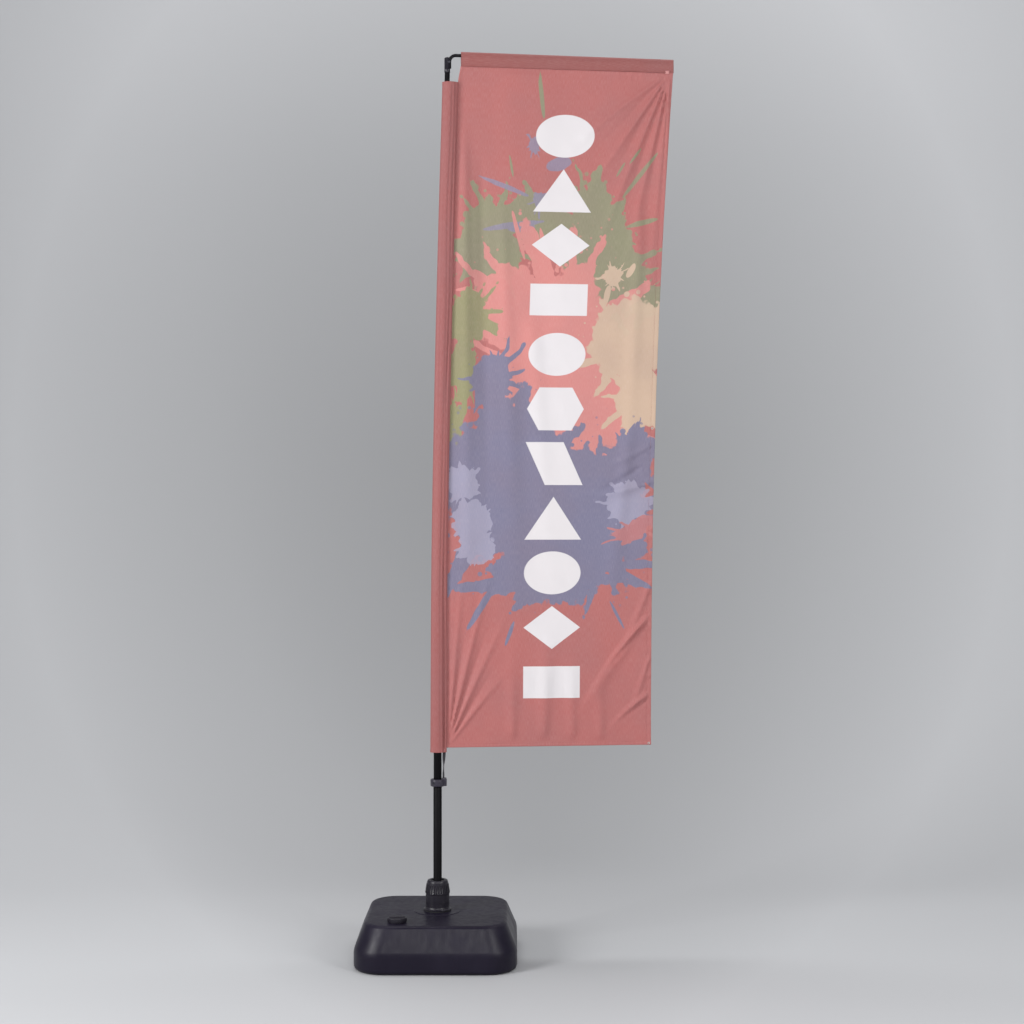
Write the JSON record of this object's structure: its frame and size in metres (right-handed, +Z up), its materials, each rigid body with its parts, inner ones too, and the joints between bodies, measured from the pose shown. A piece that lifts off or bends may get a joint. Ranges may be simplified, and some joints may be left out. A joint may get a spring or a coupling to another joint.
{
  "type": "banner flag with pole and water base",
  "caption": "Upright printed banner flag on a sectioned black pole with a bent top arm, standing in a square water-filled base.",
  "frame": {"origin": "centre of the flat underside of the base, on the ground and on the pole's axis", "axes": "+Z up along the pole, +X towards the side the flag flies to, +Y towards the back of the flag"},
  "size_m": [1.0176, 0.5, 2.892],
  "materials": {
    "tank": "blow-moulded black plastic, soft sheen with fine mould texture",
    "hub": "moulded black plastic, satin",
    "cap": "moulded black plastic, satin",
    "collar": "moulded black plastic, satin",
    "bush_plastic": "moulded black nylon",
    "washer_plastic": "natural acetal, smooth",
    "rubber": "black rubber, matt",
    "pole": "black coated tube, satin with fine draw lines",
    "arm_rod": "black glass-fibre rod, satin",
    "rivet_steel": "darkened steel rivet",
    "flag_cloth": "printed knitted polyester, dusty red ground with paint blotches and plain white shapes",
    "tab_cloth": "folded cloth tab, lighter red",
    "eyelet_metal": "bright pressed eyelet",
    "strap_elastic": "black woven elastic"
  },
  "bodies": {
    "base": {"water_tank": "tank", "hub_gasket": "rubber", "hub_body": "hub", "pole_collet": "bush_plastic", "thrust_washer": "washer_plastic"},
    "nut_slip": {"nut_slip_ring": "bush_plastic"},
    "nut": {"clamp_nut": "hub"},
    "seal": {"cap_seal": "rubber"},
    "cap": {"filler_cap": "cap"},
    "foot": {"foot_cup": "bush_plastic"},
    "lower": {"pole_foot_plug": "bush_plastic", "pole_lower": "pole"},
    "mast": {"pole_middle": "pole", "joint_ring_lower": "bush_plastic", "pole_upper": "pole", "joint_ring_upper": "bush_plastic", "pole_top": "pole", "hinge_clevis": "bush_plastic", "arm_pin": "rivet_steel", "top_arm": "arm_rod", "arm_tip_cap": "rubber", "pole_sleeve": "flag_cloth", "arm_sleeve": "flag_cloth", "flag_panel": "flag_cloth", "side_hem": "flag_cloth", "bottom_hem": "flag_cloth", "corner_tab": "tab_cloth", "corner_eyelet": "eyelet_metal"},
    "collar": {"tension_collar": "collar", "flag_strap": "strap_elastic"}
  },
  "joints": [
    {"name": "pole_spin", "type": "hinge", "parent": "base", "child": "foot", "pos_m": [0, 0, 0.0086], "axis": [0, 0, 1], "continuous": true},
    {"name": "pole_lift", "type": "slide", "parent": "foot", "child": "lower", "axis": [0, 0, 1], "range_m": [0, 0.22]},
    {"name": "section_pull", "type": "slide", "parent": "lower", "child": "mast", "axis": [0, 0, 1], "range_m": [0, 0.1]},
    {"name": "collar_slide", "type": "slide", "parent": "mast", "child": "collar", "axis": [0, 0, 1], "range_m": [0, 0.05], "deforming": ["flag_strap"]},
    {"name": "nut_rise", "type": "slide", "parent": "base", "child": "nut_slip", "axis": [0, 0, 1], "range_m": [0, 0.0281]},
    {"name": "nut_turn", "type": "hinge", "parent": "nut_slip", "child": "nut", "pos_m": [0, 0, 0.1994], "axis": [0, 0, 1], "range_deg": [0, 2520]},
    {"name": "cap_rise", "type": "slide", "parent": "base", "child": "seal", "axis": [0, 0, 1], "range_m": [0, 0.0123]},
    {"name": "cap_turn", "type": "hinge", "parent": "seal", "child": "cap", "pos_m": [-0.119, -0.158, 0.1543], "axis": [0, 0, 1], "range_deg": [0, 1260]}
  ],
  "couplings": [
    {"joint": "nut_rise", "follows": "nut_turn", "m_per_rad": 0.00063662},
    {"joint": "cap_rise", "follows": "cap_turn", "m_per_rad": 0.00055704}
  ]
}
